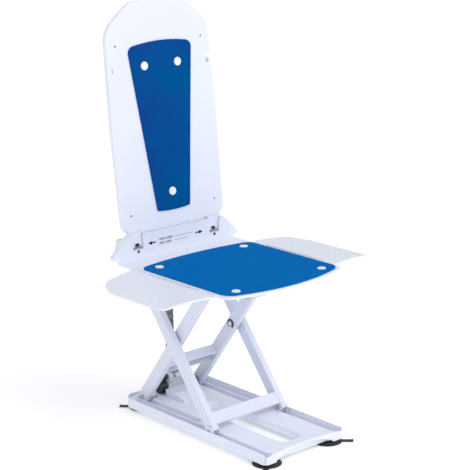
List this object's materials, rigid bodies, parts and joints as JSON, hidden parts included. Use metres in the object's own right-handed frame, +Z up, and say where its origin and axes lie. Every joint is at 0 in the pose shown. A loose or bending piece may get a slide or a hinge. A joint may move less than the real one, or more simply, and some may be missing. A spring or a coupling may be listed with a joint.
{
  "type": "bath lift",
  "caption": "Powered bath lift with a padded seat on a scissor frame, hinged side flaps, a reclining padded backrest and a suction-footed base plate.",
  "frame": {"origin": "on the floor below the middle of the raised lift", "axes": "+Z up, -Y towards the user's legs, -X the user's right as drawn from the front, symmetric about X = 0"},
  "size_m": [0.69, 0.634, 1.1135],
  "materials": {
    "white_shell": "white moulded plastic, satin with a fine grip grain",
    "white_frame": "white powder coat",
    "blue_pad": "matte soft blue pad",
    "white_stud": "glossy white",
    "black_rubber": "black rubber",
    "black_part": "black plastic",
    "steel": "brushed steel",
    "dark_steel": "dark oiled steel",
    "grey_plastic": "grey sliding plastic",
    "cast_grey": "cast grey"
  },
  "bodies": {
    "base": {"base_plate": "white_shell", "drive_cover": "white_shell", "suction_cup_front_left": "black_rubber", "suction_cup_front_right": "black_rubber", "suction_cup_rear_left": "black_rubber", "suction_cup_rear_right": "black_rubber", "rear_bracket_left": "steel", "rear_bracket_right": "steel", "rear_pin_left": "steel", "rear_pin_right": "steel", "drive_housing": "cast_grey", "chain_guide": "black_part", "push_chain": "dark_steel", "drive_motor": "black_part", "gear_cover": "black_part", "handset_socket": "black_part"},
    "inner_frame": {"inner_arm_left": "white_frame", "inner_arm_right": "white_frame", "inner_crossbar": "white_frame", "upper_pin_left": "steel", "upper_pin_right": "steel", "pivot_bolt_left": "white_frame", "pivot_bolt_right": "white_frame", "retaining_washers": "black_part", "arm_spacers": "grey_plastic"},
    "outer_frame": {"outer_arm_left": "white_frame", "outer_arm_right": "white_frame", "lower_crossbar": "white_frame", "foot_pin_left": "steel", "foot_pin_right": "steel"},
    "lower_shoes": {"lower_shoe_left": "white_frame", "lower_shoe_right": "white_frame"},
    "upper_shoes": {"upper_shoe_left": "grey_plastic", "upper_shoe_right": "grey_plastic"},
    "seat": {"seat_plate": "white_shell", "seat_rail_left": "white_frame", "seat_rail_right": "white_frame", "top_bracket_left": "white_frame", "top_bracket_right": "white_frame", "top_pin_left": "steel", "top_pin_right": "steel", "seat_pad": "blue_pad", "seat_buttons": "white_stud", "flap_pin_left": "steel", "flap_pin_right": "steel", "chain_anchor": "black_part", "hinge_block": "white_shell", "backrest_pin": "steel"},
    "left_flap": {"flap_left": "white_shell"},
    "right_flap": {"flap_right": "white_shell"},
    "backrest": {"backrest_shell": "white_shell", "back_pad": "blue_pad", "back_buttons": "white_stud", "back_plugs": "black_part"},
    "left_latch": {"latch_button_left": "black_part"},
    "right_latch": {"latch_button_right": "black_part"}
  },
  "joints": [
    {"name": "lift", "type": "hinge", "parent": "base", "child": "inner_frame", "pos_m": [0, 0.25, 0.038], "axis": [1, 0, 0], "range_deg": [0, 46.9], "deforming": ["push_chain"]},
    {"name": "scissor", "type": "hinge", "parent": "inner_frame", "child": "outer_frame", "pos_m": [0, 0.08994, 0.24213], "axis": [1, 0, 0], "range_deg": [-93.8, 0]},
    {"name": "seat_level", "type": "hinge", "parent": "outer_frame", "child": "seat", "pos_m": [0, 0.2247, 0.414], "axis": [1, 0, 0], "range_deg": [0, 46.9]},
    {"name": "lower_shoe_turn", "type": "hinge", "parent": "outer_frame", "child": "lower_shoes", "pos_m": [0, -0.07012, 0.038], "axis": [1, 0, 0], "range_deg": [0, 46.9]},
    {"name": "upper_shoe_turn", "type": "hinge", "parent": "inner_frame", "child": "upper_shoes", "pos_m": [0, -0.04482, 0.414], "axis": [1, 0, 0], "range_deg": [-46.9, 0]},
    {"name": "left_flap_fold", "type": "hinge", "parent": "seat", "child": "left_flap", "pos_m": [-0.201, 0, 0.4385], "axis": [0, 1, 0], "range_deg": [0, 80]},
    {"name": "right_flap_fold", "type": "hinge", "parent": "seat", "child": "right_flap", "pos_m": [0.201, 0, 0.4385], "axis": [0, -1, 0], "range_deg": [0, 80]},
    {"name": "recline", "type": "hinge", "parent": "seat", "child": "backrest", "pos_m": [0, 0.224, 0.484], "axis": [-1, 0, 0], "range_deg": [0, 40]},
    {"name": "left_latch_press", "type": "slide", "parent": "backrest", "child": "left_latch", "axis": [0, 0.9959, -0.0906], "range_m": [0, 0.002], "stiffness_N_per_m": 400},
    {"name": "right_latch_press", "type": "slide", "parent": "backrest", "child": "right_latch", "axis": [0, 0.9959, -0.0906], "range_m": [0, 0.002], "stiffness_N_per_m": 400}
  ],
  "couplings": [
    {"joint": "scissor", "follows": "lift", "ratio": -2},
    {"joint": "seat_level", "follows": "lift", "ratio": 1},
    {"joint": "lower_shoe_turn", "follows": "lift", "ratio": 1},
    {"joint": "upper_shoe_turn", "follows": "lift", "ratio": -1}
  ]
}
